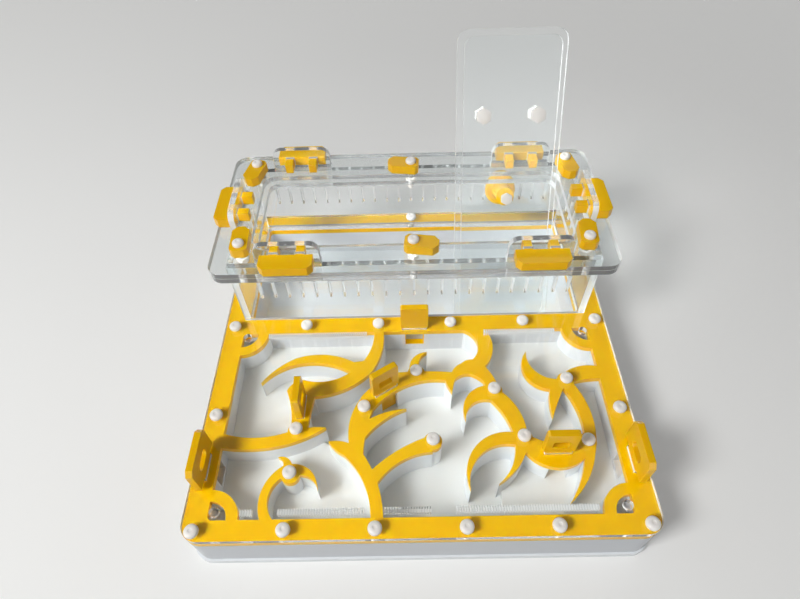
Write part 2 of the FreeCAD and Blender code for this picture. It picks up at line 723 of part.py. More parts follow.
def lid_holes(z0, z1):
    up = knob_up + lid_screw_up
    hole_r = lid_screw_r + lid_screw_clear
    holes = [rod(sx * lid_screw_span / 2, up, z0, z1, hole_r) for sx in (-1, 1)]
    return holes + [rod(0, knob_up, z0, z1, screw_hole_r)]


def lid_sheet():
    face = round_rect(-lid_w / 2, lid_w / 2, 0, lid_l, lid_corner)
    return leaned(less(slab(face, -2 * lid_t, -lid_t), lid_holes(-2 * lid_t, -lid_t)))


def lid_step_sheet():
    w = lid_w / 2 - lid_step
    face = round_rect(-w, w, lid_step, lid_l - lid_step, lid_corner - lid_step / 3)
    return leaned(less(slab(face, -lid_t, 0), lid_holes(-lid_t, 0)))


def lid_knob():
    """Turned knob with a hub and a rounded disc."""
    z0 = -2 * lid_t
    z1 = z0 - hub_l
    z2 = z1 - knob_t
    c = knob_soft
    pts = [V(screw_r, 0, z0), V(hub_r, 0, z0), V(hub_r, 0, z1), V(knob_r - c, 0, z1), V(knob_r, 0, z1 - c),
           V(knob_r, 0, z2 + c), V(knob_r - c, 0, z2), V(screw_r, 0, z2), V(screw_r, 0, z0)]
    knob = Part.Face(Part.makePolygon(pts)).revolve(V(0, 0, 0), V(0, 0, 1), 360)
    knob.translate(V(0, knob_up, 0))
    return leaned(knob)


def knob_screw():
    shank = rod(0, 0, -2 * lid_t - hub_l - knob_t / 2, 0, screw_r)
    screw = joined([hexagon(nut_af, 0, head_h), shank])
    screw.translate(V(0, knob_up, 0))
    return leaned(screw)


def lid_screws():
    shank = rod(0, 0, -2 * lid_t - lid_nut_h - lid_tail, 0, lid_screw_r)
    one = joined([hexagon(lid_screw_af, 0, lid_head_h), shank])
    both = [moved(one, sx * lid_screw_span / 2, knob_up + lid_screw_up) for sx in (-1, 1)]
    return leaned(Part.makeCompound(both))


def lid_nuts():
    z0 = -2 * lid_t - lid_nut_h
    z1 = -2 * lid_t
    one = hexagon(lid_screw_af, z0, z1).cut(rod(0, 0, z0, z1, lid_screw_r))
    both = [moved(one, sx * lid_screw_span / 2, knob_up + lid_screw_up) for sx in (-1, 1)]
    return leaned(Part.makeCompound(both))


# ================================================================ write every piece
def pieces():
    yield "bottom_plate", bottom_plate()
    yield "nest_frame", nest_frame()
    yield "nest_floor", nest_floor()
    yield "west_ledge", ledge(-1, WEST_LEDGE)
    yield "east_ledge", ledge(1, EAST_LEDGE)
    yield "corner_rings", corner_rings()
    yield from nest_walls()
    yield "maze_layer", maze_layer()
    yield "cover_sheet", cover_sheet()
    yield "deck_screws", deck_screws()
    for row in gate_places():
        yield row[0], gate(*row)
    yield "front_wall", front_wall()
    yield "back_wall", back_wall()
    yield "left_wall", side_wall(-1)
    yield "right_wall", side_wall(1)
    yield "rim_lower", rim_sheet(z_rim, step_w)
    yield "rim_upper", rim_sheet(z_rim + rim_t, 0.0)
    for name, x, y, turn in key_places():
        yield name, moved(key(), x, y, z_rim_top, turn)
    for name, x, y, turn in button_places():
        yield name, moved(button(), x, y, z_rim_top, turn)
    yield "button_screws", button_screws()
    yield "button_nuts", button_nuts()
    yield "lid_sheet", lid_sheet()
    yield "lid_step_sheet", lid_step_sheet()
    yield "lid_knob", lid_knob()
    yield "knob_screw", knob_screw()
    yield "lid_screws", lid_screws()
    yield "lid_nuts", lid_nuts()


os.makedirs("parts", exist_ok=True)
for node, shape in pieces():
    shape.exportStep("parts/" + node + ".step")
    print(node, len(shape.Solids), "solids", round(shape.Volume / 1000, 2), "cm3", shape.isValid())
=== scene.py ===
# %% [markdown]
# # Ant habitat
# A flat nest of white board lies under a yellow maze sheet and a clear cover, and a clear feeding box
# with a keyed rim stands on its back half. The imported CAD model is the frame: it has every sheet, gate,
# key, button and screw in its place. This script gives each of them its finish, and models again the
# pieces whose small shape shows: the clear sheets' soft edges and the moulded screws and nuts.

# %% Load the frame
import math

import bpy
import numpy as np
from mathutils import Matrix, Vector


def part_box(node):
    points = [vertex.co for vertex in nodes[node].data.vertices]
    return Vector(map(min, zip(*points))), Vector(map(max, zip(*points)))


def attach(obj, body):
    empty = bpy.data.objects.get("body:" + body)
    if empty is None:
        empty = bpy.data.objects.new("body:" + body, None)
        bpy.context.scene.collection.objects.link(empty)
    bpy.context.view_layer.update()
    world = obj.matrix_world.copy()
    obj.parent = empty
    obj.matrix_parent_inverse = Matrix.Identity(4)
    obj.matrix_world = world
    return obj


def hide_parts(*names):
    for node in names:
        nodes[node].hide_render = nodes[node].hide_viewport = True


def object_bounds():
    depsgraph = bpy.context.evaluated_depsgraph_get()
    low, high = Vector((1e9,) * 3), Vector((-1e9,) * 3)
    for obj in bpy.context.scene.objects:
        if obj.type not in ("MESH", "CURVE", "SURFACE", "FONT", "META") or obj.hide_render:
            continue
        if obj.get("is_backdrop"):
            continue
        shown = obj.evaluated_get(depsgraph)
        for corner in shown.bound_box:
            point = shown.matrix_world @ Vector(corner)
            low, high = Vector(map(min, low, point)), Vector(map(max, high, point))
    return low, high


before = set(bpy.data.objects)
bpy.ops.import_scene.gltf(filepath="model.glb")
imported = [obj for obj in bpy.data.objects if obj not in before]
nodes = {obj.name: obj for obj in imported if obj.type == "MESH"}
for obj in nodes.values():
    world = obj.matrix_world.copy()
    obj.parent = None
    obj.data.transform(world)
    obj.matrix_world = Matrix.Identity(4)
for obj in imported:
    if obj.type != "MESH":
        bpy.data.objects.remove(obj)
cad_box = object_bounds()
mm = 0.001

# %% [markdown]
# ## Camera
# The camera stands in front of the nest and looks down on it at about fifty degrees, close enough for
# strong perspective. Its place and axes are written as a matrix, because a matrix leaves no doubt about
# roll, which angles often do.

# %% Camera
view_from = Vector((-3.8, -166.7, 266.3)) * mm
view_right = Vector((0.99966, -0.00965, -0.02302))
view_down = Vector((-0.02201, -0.77556, -0.63078))
view_ahead = Vector((-0.01177, 0.63110, -0.77560))
focal_pixels = 562.7
frame_pixels = 800.0
film_width = 36.0

camera = bpy.data.objects.new("camera", bpy.data.cameras.new("camera"))
camera.data.sensor_width = film_width
camera.data.lens = film_width * focal_pixels / frame_pixels
camera.data.clip_start = 0.01
turn = Matrix((view_right, -view_down, -view_ahead)).transposed().to_4x4()
camera.matrix_world = Matrix.Translation(view_from) @ turn
bpy.context.scene.collection.objects.link(camera)
bpy.context.scene.camera = camera
print("lens", round(camera.data.lens, 2), "mm")

# %% [markdown]
# ## One helper for nodes and one for colours
# Every finish below is a small node tree. One function adds a node, sets its properties and fills its
# sockets with values or links. Colours are written as sRGB hex and turned into the linear values that
# the renderer works with.

# %% Helpers for materials


def linear(code):
    """sRGB hex to linear: c / 12.92 up to 0.04045, else ((c + 0.055) / 1.055) to the power 2.4."""
    c = np.array([int(code[i:i + 2], 16) for i in (0, 2, 4)]) / 255
    return (*np.where(c > 0.04045, ((c + 0.055) / 1.055) ** 2.4, c / 12.92).tolist(), 1.0)


def add(tree, kind, sockets=None, **settings):
    """Adds a node with its settings; each socket gets a value, or a link where it is given an output."""
    n = tree.nodes.new(kind)
    for key, value in settings.items():
        setattr(n, key, value)
    for key, value in (sockets or {}).items():
        if isinstance(value, bpy.types.NodeSocket):
            tree.links.new(value, n.inputs[key])
        else:
            n.inputs[key].default_value = value
    return n


def looked_at(tree):
    """1 for camera rays and for what they meet in a mirror or through glass, 0 for light."""
    rays = add(tree, "ShaderNodeLightPath")
    seen = rays.outputs["Is Camera Ray"]
    for kind in ("Is Glossy Ray", "Is Transmission Ray"):
        seen = add(tree, "ShaderNodeMath", {0: seen, 1: rays.outputs[kind]}, operation="MAXIMUM").outputs[0]
    return seen


def new_material(name):
    """An empty node material with its output node."""
    m = bpy.data.materials.new(name)
    m.use_nodes = True
    m.node_tree.nodes.clear()
    return m, m.node_tree, m.node_tree.nodes.new("ShaderNodeOutputMaterial")


# %% [markdown]
# ## Clear acrylic
# The clear sheets are cast acrylic, 3 mm thick, cut by laser. Cast acrylic (PMMA) is glass-like with an
# index of 1.49 and polished faces. The laser leaves the cut faces a little frosted, with fine upright
# stripes, so they catch light and look white, most of all at the ends and in the narrow slits. Those
# stripes are about 0.35 mm apart, too fine to show, so they are drawn four times as coarse. The
# material finds a cut face by its normal, which lies across the sheet's own axis. Shadow rays go
# through, because a clear sheet throws only a faint shadow.

# %% Cast acrylic, laser cut
acrylic_index = 1.49
stripe_size = 4 * 0.35 * mm
flat_cosine = 0.75                    # polished faces have |normal . axis| above this
frost_from, frost_full = 0.4, 0.9     # |normal . ends| where the frosting starts and where it is full
comb_rows = (-86.3 * mm, 4.7 * mm)    # middle of the air combs in the cover, front and back
comb_half = 1.3 * mm
gate_half = 8.0 * mm                  # the middle gate's slot interrupts the rows


def clear_acrylic(name, axis, ends, combs=(), shade="FBFCFC"):
    """Glass with cut faces where |normal . axis| < flat_cosine.

    They are frosted most where they face the ends, and in the air combs, given by their y. Each face
    lets the shade's share of a lamp's light through.
    """
    m, tree, out = new_material(name)
    place = add(tree, "ShaderNodeTexCoord")
    along = add(tree, "ShaderNodeVectorMath", {0: place.outputs["Normal"], 1: axis}, operation="DOT_PRODUCT")
    flat = add(tree, "ShaderNodeMath", {0: along.outputs["Value"]}, operation="ABSOLUTE")
    cut = add(tree, "ShaderNodeMath", {0: flat.outputs[0], 1: flat_cosine}, operation="LESS_THAN")
    facing = add(tree, "ShaderNodeVectorMath", {0: place.outputs["Normal"], 1: ends}, operation="DOT_PRODUCT")
    end = add(tree, "ShaderNodeMath", {0: facing.outputs["Value"]}, operation="ABSOLUTE")
    parts = add(tree, "ShaderNodeSeparateXYZ", {0: place.outputs["Object"]})
    gate = add(tree, "ShaderNodeMath", {0: parts.outputs["X"], 1: 0.0, 2: gate_half}, operation="COMPARE")
    for y in combs:
        row = add(tree, "ShaderNodeMath", {0: parts.outputs["Y"], 1: y, 2: comb_half}, operation="COMPARE")
        near = add(tree, "ShaderNodeMath", {0: row.outputs[0], 1: gate.outputs[0]}, operation="SUBTRACT")
        end = add(tree, "ShaderNodeMath", {0: end.outputs[0], 1: near.outputs[0]}, operation="MAXIMUM")
    clarity = add(tree, "ShaderNodeMapRange", {"Value": end.outputs[0], "From Min": frost_from,
                                               "From Max": frost_full, "To Min": 0.75, "To Max": 0.15})
    grit = add(tree, "ShaderNodeMapRange", {"Value": end.outputs[0], "From Min": frost_from,
                                            "From Max": frost_full, "To Min": 0.12, "To Max": 0.4})
    stripes = add(tree, "ShaderNodeTexNoise",
                  {"Vector": place.outputs["Object"], "Scale": 1 / stripe_size, "Detail": 2.0})
    ridge = add(tree, "ShaderNodeBump", {"Height": stripes.outputs["Fac"], "Strength": 0.35,
                                        "Distance": 0.05 * mm})
    polished = add(tree, "ShaderNodeBsdfPrincipled",
                   {"Base Color": linear("FBFDFD"), "Roughness": 0.0, "IOR": acrylic_index,
                    "Transmission Weight": 1.0})
    frosted = add(tree, "ShaderNodeBsdfPrincipled",
                  {"Base Color": linear("F6F8F8"), "Roughness": grit.outputs[0], "IOR": acrylic_index,
                   "Transmission Weight": clarity.outputs[0], "Normal": ridge.outputs["Normal"]})
    surface = add(tree, "ShaderNodeMixShader",
                  {0: cut.outputs[0], 1: polished.outputs[0], 2: frosted.outputs[0]})
    path = add(tree, "ShaderNodeLightPath")
    veil = add(tree, "ShaderNodeBsdfTransparent", {"Color": linear(shade)})
    seen = add(tree, "ShaderNodeMixShader",
               {0: path.outputs["Is Shadow Ray"], 1: surface.outputs[0], 2: veil.outputs[0]})
    tree.links.new(seen.outputs[0], out.inputs["Surface"])
    return m


lean = math.radians(26.8)             # of the parked lid, from upright
clear_cover = clear_acrylic("clear_acrylic_cover", (0, 0, 1), (1, 0, 0), comb_rows, "EDEEEE")
clear_flat = clear_acrylic("clear_acrylic_flat", (0, 0, 1), (1, 0, 0))
clear_front = clear_acrylic("clear_acrylic_front", (0, 1, 0), (1, 0, 0))
clear_side = clear_acrylic("clear_acrylic_side", (1, 0, 0), (0, 1, 0))
clear_lid = clear_acrylic("clear_acrylic_lid", (0, -math.cos(lean), math.sin(lean)), (1, 0, 0))
print("clear finishes", [m.name for m in (clear_cover, clear_flat, clear_front, clear_side, clear_lid)])

# %% [markdown]
# ## Yellow acrylic
# The maze sheet, gates, keys, buttons and knob are opaque yellow acrylic. It is dyed through, so light
# goes a little way in and comes out again. Upright faces are painted a brighter yellow than the top, as
# painted light, so that they look as bright as the top. The polished faces are nearly mirror smooth,
# with a slow wave that cast sheet always has, and their tone drifts a little from place to place. The
# laser leaves the cut faces slightly rough, and browner near the rims.

# %% Yellow acrylic
scorch = 0.25 * mm                    # width of the brown line along a laser cut
cloud_size = 55.6 * mm                # of the drift in tone
wave_size = 18.2 * mm                 # of the slow wave in the polished face


def yellow_acrylic(name, z_low, z_high):
    """Dyed acrylic whose cut faces go brown within a scorch width of the sheet's two faces."""
    m, tree, out = new_material(name)
    place = add(tree, "ShaderNodeTexCoord")
    parts = add(tree, "ShaderNodeSeparateXYZ", {0: place.outputs["Object"]})
    up = add(tree, "ShaderNodeSeparateXYZ", {0: place.outputs["Normal"]})
    steep = add(tree, "ShaderNodeMath", {0: up.outputs["Z"]}, operation="ABSOLUTE")
    cut = add(tree, "ShaderNodeMapRange",
              {"Value": steep.outputs[0], "From Min": 0.2, "From Max": 0.8, "To Min": 1.0, "To Max": 0.0})
    low = add(tree, "ShaderNodeMapRange", {"Value": parts.outputs["Z"], "From Min": z_low,
                                           "From Max": z_low + scorch, "To Min": 1.0, "To Max": 0.0})
    high = add(tree, "ShaderNodeMapRange", {"Value": parts.outputs["Z"], "From Min": z_high - scorch,
                                            "From Max": z_high, "To Min": 0.0, "To Max": 1.0})
    rims = add(tree, "ShaderNodeMath", {0: low.outputs[0], 1: high.outputs[0]}, operation="MAXIMUM")
    burnt = add(tree, "ShaderNodeMath", {0: rims.outputs[0], 1: cut.outputs[0]}, operation="MULTIPLY")
    cloud = add(tree, "ShaderNodeTexNoise", {"Vector": place.outputs["Object"], "Scale": 1 / cloud_size,
                                             "Detail": 3.0})
    face = add(tree, "ShaderNodeMix", {0: cloud.outputs["Fac"], 6: linear("F4C400"), 7: linear("F0B900")},
               data_type="RGBA")
    # Upright faces take a brighter yellow (FFC300) than the top: painted light.
    side = add(tree, "ShaderNodeMix", {0: cut.outputs[0], 6: face.outputs[2], 7: linear("FFC300")},
               data_type="RGBA")
    colour = add(tree, "ShaderNodeMix", {0: burnt.outputs[0], 6: side.outputs[2], 7: linear("DCA406")},
                 data_type="RGBA")
    rough = add(tree, "ShaderNodeMapRange", {"Value": cut.outputs[0], "To Min": 0.07, "To Max": 0.28})
    waves = add(tree, "ShaderNodeTexNoise", {"Vector": place.outputs["Object"], "Scale": 1 / wave_size,
                                             "Detail": 1.0})
    soft = add(tree, "ShaderNodeBevel", {"Radius": 0.2 * mm}, samples=4)
    skin = add(tree, "ShaderNodeBump", {"Height": waves.outputs["Fac"], "Strength": 0.04,
                                        "Distance": 0.4 * mm, "Normal": soft.outputs[0]})
    body = add(tree, "ShaderNodeBsdfPrincipled",
               {"Base Color": colour.outputs[2], "Roughness": rough.outputs[0], "IOR": acrylic_index,
                "Subsurface Weight": 0.5, "Subsurface Radius": (1.0, 0.6, 0.03),
                "Subsurface Scale": 2.0 * mm, "Normal": skin.outputs["Normal"]})
    tree.links.new(body.outputs[0], out.inputs["Surface"])
    return m


z_maze, z_cover, z_rim_top = 22 * mm, 25 * mm, 72.8 * mm
key_thickness = 5 * mm
yellow_sheet = yellow_acrylic("yellow_acrylic_sheet", z_maze, z_cover)
yellow_keys = yellow_acrylic("yellow_acrylic_keys", z_rim_top, z_rim_top + key_thickness)
yellow_gates = yellow_acrylic("yellow_acrylic_gates", -1.0, 1.0)    # a metre away: no brown lines
print("yellow finishes", [m.name for m in (yellow_sheet, yellow_keys, yellow_gates)])

# %% [markdown]
# ## White board and white sheet
# The nest body is white PVC board, routed by a cutter. Board that has been routed is matt, with a fine
# grain where its closed foam is laid open. The foam's cells are a few tenths of a millimetre, too fine
# to show, so the grain is drawn about a millimetre wide. The block's board is painted greyer than the
# walls' and its outer faces greyer still: painted shade for the block's sides, which stand in shade.
# The bottom plate under it is plain white acrylic, smoother and a little glossy.

# %% White board, routed
board_index = 1.5
patch_size = 33.3 * mm                # of the slow change of tone over the board


def white_board(name, tint, grain, roughness, outer_face_shade=None, reach=()):
    """Matt white with fine grain: a bump of noise whose size is the grain's, in millimetres.

    Where |x| or |y| is past its reach, the face is an outer one and takes a greyer colour: painted shade.
    """
    m, tree, out = new_material(name)
    place = add(tree, "ShaderNodeTexCoord")
    fine = add(tree, "ShaderNodeTexNoise", {"Vector": place.outputs["Object"], "Scale": 1 / (grain * mm),
                                            "Detail": 4.0, "Roughness": 0.6})
    broad = add(tree, "ShaderNodeTexNoise", {"Vector": place.outputs["Object"], "Scale": 1 / patch_size,
                                             "Detail": 2.0})
    shade = add(tree, "ShaderNodeMix", {0: broad.outputs["Fac"], 6: linear(tint[0]), 7: linear(tint[1])},
                data_type="RGBA")
    parts = add(tree, "ShaderNodeSeparateXYZ", {0: place.outputs["Object"]})
    # Outer faces of the block get a greyer colour: painted shade on its sides.
    for side, far in zip("XY", reach):
        away = add(tree, "ShaderNodeMath", {0: parts.outputs[side]}, operation="ABSOLUTE")
        outer = add(tree, "ShaderNodeMath", {0: away.outputs[0], 1: far}, operation="GREATER_THAN")
        shade = add(tree, "ShaderNodeMix", {0: outer.outputs[0], 6: shade.outputs[2], 7: linear(outer_face_shade)},
                    data_type="RGBA")
    soft = add(tree, "ShaderNodeBevel", {"Radius": 0.3 * mm}, samples=4)
    grainy = add(tree, "ShaderNodeBump", {"Height": fine.outputs["Fac"], "Strength": 0.25,
                                          "Distance": 0.12 * mm, "Normal": soft.outputs[0]})
    body = add(tree, "ShaderNodeBsdfPrincipled",
               {"Base Color": shade.outputs[2], "Roughness": roughness, "IOR": board_index,
                "Normal": grainy.outputs["Normal"]})
    tree.links.new(body.outputs[0], out.inputs["Surface"])
    return m


block_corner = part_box("nest_frame")[1]
block_reach = (block_corner[0] - 0.5 * mm, block_corner[1] - 0.5 * mm)
# Frame tints greyer than the walls' board, outer faces greyer still (D0D3D7): painted shade.
board_frame = white_board("white_pvc_frame", ("DDDFE3", "D8DBDF"), 1.2, 0.5, "D0D3D7", block_reach)
board_wall = white_board("white_pvc_walls", ("EEF1F5", "E8ECF0"), 1.2, 0.5)
board_floor = white_board("white_board_floor", ("EEEFED", "E8E9E7"), 0.9, 0.6)
sheet_base = white_board("white_acrylic_base", ("E9ECEE", "E4E8EB"), 2.5, 0.25)
print("white finishes", [m.name for m in (board_frame, board_wall, board_floor, sheet_base)])

# %% [markdown]
# ## White nylon
# Screws and nuts are moulded nylon: milky, a little waxy, never quite white. Light goes into it, so it
# gets a soft subsurface glow, and the mould leaves a faintly uneven skin.

# %% White nylon, moulded
nylon_index = 1.53
mottle_size = 2.5 * mm


def white_nylon(name):
    """Milky moulded plastic with a soft glow from inside."""
    m, tree, out = new_material(name)
    place = add(tree, "ShaderNodeTexCoord")
    mottle = add(tree, "ShaderNodeTexNoise", {"Vector": place.outputs["Object"],
                                              "Scale": 1 / mottle_size, "Detail": 2.0})
    colour = add(tree, "ShaderNodeMix", {0: mottle.outputs["Fac"], 6: linear("F8F5F0"),
                                         7: linear("F1EDE8")}, data_type="RGBA")
    uneven = add(tree, "ShaderNodeBump", {"Height": mottle.outputs["Fac"], "Strength": 0.12,
                                          "Distance": 0.08 * mm})
    body = add(tree, "ShaderNodeBsdfPrincipled",
               {"Base Color": colour.outputs[2], "Roughness": 0.38, "IOR": nylon_index,
                "Subsurface Weight": 0.12, "Subsurface Radius": (1.0, 0.9, 0.8),
                "Subsurface Scale": 0.8 * mm, "Normal": uneven.outputs["Normal"]})
    tree.links.new(body.outputs[0], out.inputs["Surface"])
    return m


nylon = white_nylon("white_nylon")
print("nylon finish", nylon.name)

# %% [markdown]
# ## Finishes on the CAD pieces
# A CAD piece keeps its shape and its place; only its material slot changes. The clear sheets get
# theirs in the next step, on the copies that stand for them.

# %% Give each CAD piece its finish


def dress(node, material):
    """Puts one material in the node's only slot."""
    slots = nodes[node].data.materials
    slots.clear()
    slots.append(material)


maze_walls = ("north_west_wall", "west_wall", "south_west_wall", "south_wall", "middle_wall", "east_wall")
for node in nodes:
    if node == "maze_layer":
        dress(node, yellow_sheet)
    elif node.endswith("_gate") or node == "lid_knob":
        dress(node, yellow_gates)
    elif node.endswith(("_key", "_button")):
        dress(node, yellow_keys)
    elif node == "nest_frame":
        dress(node, board_frame)
    elif node == "corner_rings" or node in maze_walls:
        dress(node, board_wall)
    elif node == "nest_floor" or node.endswith("_ledge"):
        dress(node, board_floor)
    elif node == "bottom_plate":
        dress(node, sheet_base)
    elif "screw" in node or "nuts" in node:
        dress(node, nylon)
print("dressed", len(nodes), "nodes")

# %% [markdown]
# ## Clear sheets with soft edges
# Two sheets that lie on each other share a face, and a ray that leaves one must still find the other.
# So each clear sheet is copied and drawn in by a hair, three hundredths of a millimetre, which leaves
# the thin film of air that lies between real sheets. Its sharp edges get a small bevel, because the
# light line along every edge is what makes clear acrylic readable. Loop slide stays off: with it, a
# bevel's corner slides along the thin triangles of a flat face, and the face folds over itself.

# %% Points of a CAD piece, and how they are drawn in
same_point = 0.0005 * mm              # points closer than this are one


def drawn_in(points, triangles, gap):
    """Moves each point by d, the least-squares answer to normal . d = -gap over all faces round it."""
    a, b, c = (points[triangles[:, k]] for k in range(3))
    n = np.cross(b - a, c - a)
    n /= np.maximum(np.linalg.norm(n, axis=1, keepdims=True), 1e-18)
    outer = np.zeros((len(points), 3, 3))
    total = np.zeros((len(points), 3))
    for k in range(3):
        np.add.at(outer, triangles[:, k], n[:, :, None] * n[:, None, :])
        np.add.at(total, triangles[:, k], n)
    d = np.einsum("ijk,ik->ij", np.linalg.pinv(outer, rcond=1e-2, hermitian=True), total)
    return points - gap * d


def merged(node):
    """A CAD node's points without doubles, and its triangles: points that round alike become one."""
    mesh = nodes[node].data
    mesh.calc_loop_triangles()
    points = np.empty(len(mesh.vertices) * 3)
    mesh.vertices.foreach_get("co", points)
    triangles = np.empty(len(mesh.loop_triangles) * 3, dtype=np.int64)
    mesh.loop_triangles.foreach_get("vertices", triangles)
    key = np.round(points.reshape(-1, 3) / same_point).astype(np.int64)
    _, first, back = np.unique(key, axis=0, return_index=True, return_inverse=True)
    triangles = back.reshape(-1)[triangles].reshape(-1, 3)
    whole = (triangles[:, 0] != triangles[:, 1]) & (triangles[:, 1] != triangles[:, 2]) \
        & (triangles[:, 0] != triangles[:, 2])
    return points.reshape(-1, 3)[first], triangles[whole]


# %% [markdown]
# ## New pieces
# Every piece that is made here goes the same way: a mesh at the origin, smooth but for its sharp edges,
# that moves with its body and takes the place of its CAD piece. A clear sheet also gets its bevel.

# %% Make a piece, and make a clear sheet
film = 0.03 * mm
arris = 0.16 * mm
crease = math.radians(32)             # edges sharper than this stay sharp
bevel_from = math.radians(40)         # edges sharper than this get the bevel


def new_piece(name, points, faces, material, body, stands_for):
    """A mesh object at the origin that rides on a body, takes a finish slot and stands for CAD nodes."""
    mesh = bpy.data.meshes.new(name)
    mesh.from_pydata(points.tolist(), [], faces.tolist())
    mesh.materials.append(material)
    piece = bpy.data.objects.new(name, mesh)
    bpy.context.scene.collection.objects.link(piece)
    mesh.polygons.foreach_set("use_smooth", [True] * len(mesh.polygons))
    mesh.set_sharp_from_angle(angle=crease)
    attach(piece, body)
    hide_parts(*stands_for)
    return piece


def clear_sheet(node, material, body="habitat"):
    """The clear sheet that stands for a CAD node: drawn in by the film, edges bevelled."""
    points, triangles = merged(node)
    piece = new_piece("clear_" + node, drawn_in(points, triangles, film), triangles, material, body,
                      (node,))
    soft = piece.modifiers.new("arris", "BEVEL")
    soft.width = arris
    soft.segments = 2
    soft.limit_method = "ANGLE"
    soft.angle_limit = bevel_from
    soft.use_clamp_overlap = False
    soft.loop_slide = False
    soft.harden_normals = True


clear_sheet("cover_sheet", clear_cover)
for node in ("rim_lower", "rim_upper"):
    clear_sheet(node, clear_flat)
for node in ("front_wall", "back_wall"):
    clear_sheet(node, clear_front)
for node in ("left_wall", "right_wall"):
    clear_sheet(node, clear_side)
for node in ("lid_sheet", "lid_step_sheet"):
    clear_sheet(node, clear_lid, "lid")

# %% [markdown]
# ## Screws and nuts
# Every fastener is made of rows of points that close round an axis. A row is a radius and a height, and
# each of the two may be one number or change with the angle a. That covers a turned shape (numbers), a
# thread (the radius falls and rises once per pitch, and the wave climbs with a) and a hexagon, whose
# radius is (flats / 2) / cos(((a + 30) mod 60) - 30) in degrees. The places come from the CAD solids.

# %% Rows that close round an axis
sides = 48
tip = 0.01                            # radius of the first and last row of a closed shape, in mm
thread_steps = 6                      # rows per pitch
angle = np.arange(sides) * 2 * math.pi / sides


def turned(rows):
    """Points (r cos a, r sin a, z) of all rows, in metres, and the quads between them."""
    r = np.array([np.broadcast_to(row[0], sides) for row in rows])
    z = np.array([np.broadcast_to(row[1], sides) for row in rows])
    points = np.stack([r * np.cos(angle), r * np.sin(angle), z], -1).reshape(-1, 3) * mm
    i, j = np.meshgrid(np.arange(len(rows) - 1), np.arange(sides), indexing="ij")
    k = (j + 1) % sides
    quads = np.stack([i * sides + j, i * sides + k, (i + 1) * sides + k, (i + 1) * sides + j], -1)
    return points, quads.reshape(-1, 4)


def thread_rows(radius, pitch, low, high):
    """Rows of a thread: r = radius - half a pitch |2 f - 1|, f the fraction of (z / pitch - a / 360)."""
    z = np.linspace(low, high, int((high - low) / pitch * thread_steps) + 2)
    share = (z[:, None] / pitch - angle / (2 * math.pi)) % 1.0
    r = radius - 0.5 * pitch * np.abs(2 * share - 1)
    return list(zip(r, z))


# %% [markdown]
# ## Heads and shanks
# A pan head is an upright edge, a shoulder that curves over like a quarter of an ellipse, and a flat
# top with the small dimple that moulding leaves. A hexagon head or nut has its corners cut back at
# thirty degrees, top and bottom. A shank carries its thread only where it can be seen: just under the
# head where it goes on into the board, and all along where it hangs free.

# %% Pan heads, hexagons and shanks


def pan_rows(radius, height):
    """Rows of a pan head: its shoulder is r = radius (0.4 + 0.6 cos t), z = height (0.45 + 0.55 sin t)."""
    edge, dip = 0.12, 0.32
    t = np.linspace(0, math.pi / 2, 9)
    shoulder = [(radius * (0.4 + 0.6 * math.cos(v)), height * (0.45 + 0.55 * math.sin(v))) for v in t]
    dimple = [(0.3 * radius, height), (0.26 * radius, height - 0.25), (0.1 * radius, height - dip)]
    return [(tip, 0.0), (radius - edge, 0.0), (radius, edge)] + shoulder + dimple + [(tip, height - dip)]


def hex_rows(flats, low, high, middle):
    """Rows of a hexagonal prism: r as above, the corners dropped by (r - rim) tan 30 degrees.

    It starts and ends at the middle radius: a tip for a head, the hole's radius for a nut.
    """
    r = flats / 2 / np.cos((angle + math.pi / 6) % (math.pi / 3) - math.pi / 6)
    rim = 0.485 * flats
    drop = np.maximum(r - rim, 0) * math.tan(math.radians(30))
    return [(middle, low), (rim, low), (r, low + drop), (r, high - drop), (rim, high), (middle, high)]


def shank(radius, pitch, length, threaded):
    """A screw's shank down from z = 0, with its thread on the threaded length under the head."""
    return turned([(tip, -length), (radius - pitch / 4, -length)] + thread_rows(radius, pitch, -threaded, 0.0))


# %% [markdown]
# ## Where the fasteners go
# One CAD node holds all screws of a kind, so its mesh is split into connected solids first, and each
# solid's box gives the place of one screw. The lid's screws lie along the leaning lid, so their points
# are turned upright for this, and turned back at the end.

# %% Copies of a shape on every solid of a node
upright = np.eye(3)
lid_turn = np.array([(1, 0, 0), (0, math.sin(lean), -math.cos(lean)), (0, math.cos(lean), math.sin(lean))])




def solid_boxes(points, triangles):
    """Lowest and highest corner of every connected solid of a triangle mesh.

    Each point carries a label, and all points of a triangle take its lowest one until none changes.
    """
    label = np.arange(len(points))
    while True:
        low = label.copy()
        np.minimum.at(low, triangles.ravel(), np.repeat(label[triangles].min(axis=1), 3))
        low = low[low]
        if (low == label).all():
            break
        label = low
    order = np.argsort(label, kind="stable")
    starts = np.flatnonzero(np.r_[True, np.diff(label[order]) > 0])
    return (np.minimum.reduceat(points[order], starts, axis=0),
            np.maximum.reduceat(points[order], starts, axis=0))


def fasteners(node, shapes, height, turn=upright, body="habitat"):
    """Copies of some shapes, their axis on each solid's middle, their z = 0 at a height above its foot."""
    points, triangles = merged(node)
    low, high = solid_boxes(points @ turn, triangles)
    places = np.column_stack([(low + high)[:, :2] / 2, low[:, 2] + height * mm])
    starts = np.cumsum([0] + [len(shape) for shape, _ in shapes])
    shape = np.concatenate([shape for shape, _ in shapes])
    quads = np.concatenate([faces + start for (_, faces), start in zip(shapes, starts)])
    every = (shape + places[:, None]).reshape(-1, 3) @ turn.T
    faces = (quads + (np.arange(len(places)) * len(shape))[:, None, None]).reshape(-1, 4)
    print(node, len(places), "places", len(faces), "quads")
    new_piece("nylon_" + node, every, faces, nylon, body, (node,))


# %% [markdown]
# ## The screws and nuts themselves
# The deck's and the buttons' screws are M3 with pan heads, the lid's are M4 with hexagon heads, and the
# knob turns on an M3 with a hexagon head. Lengths run from under the head, in millimetres.

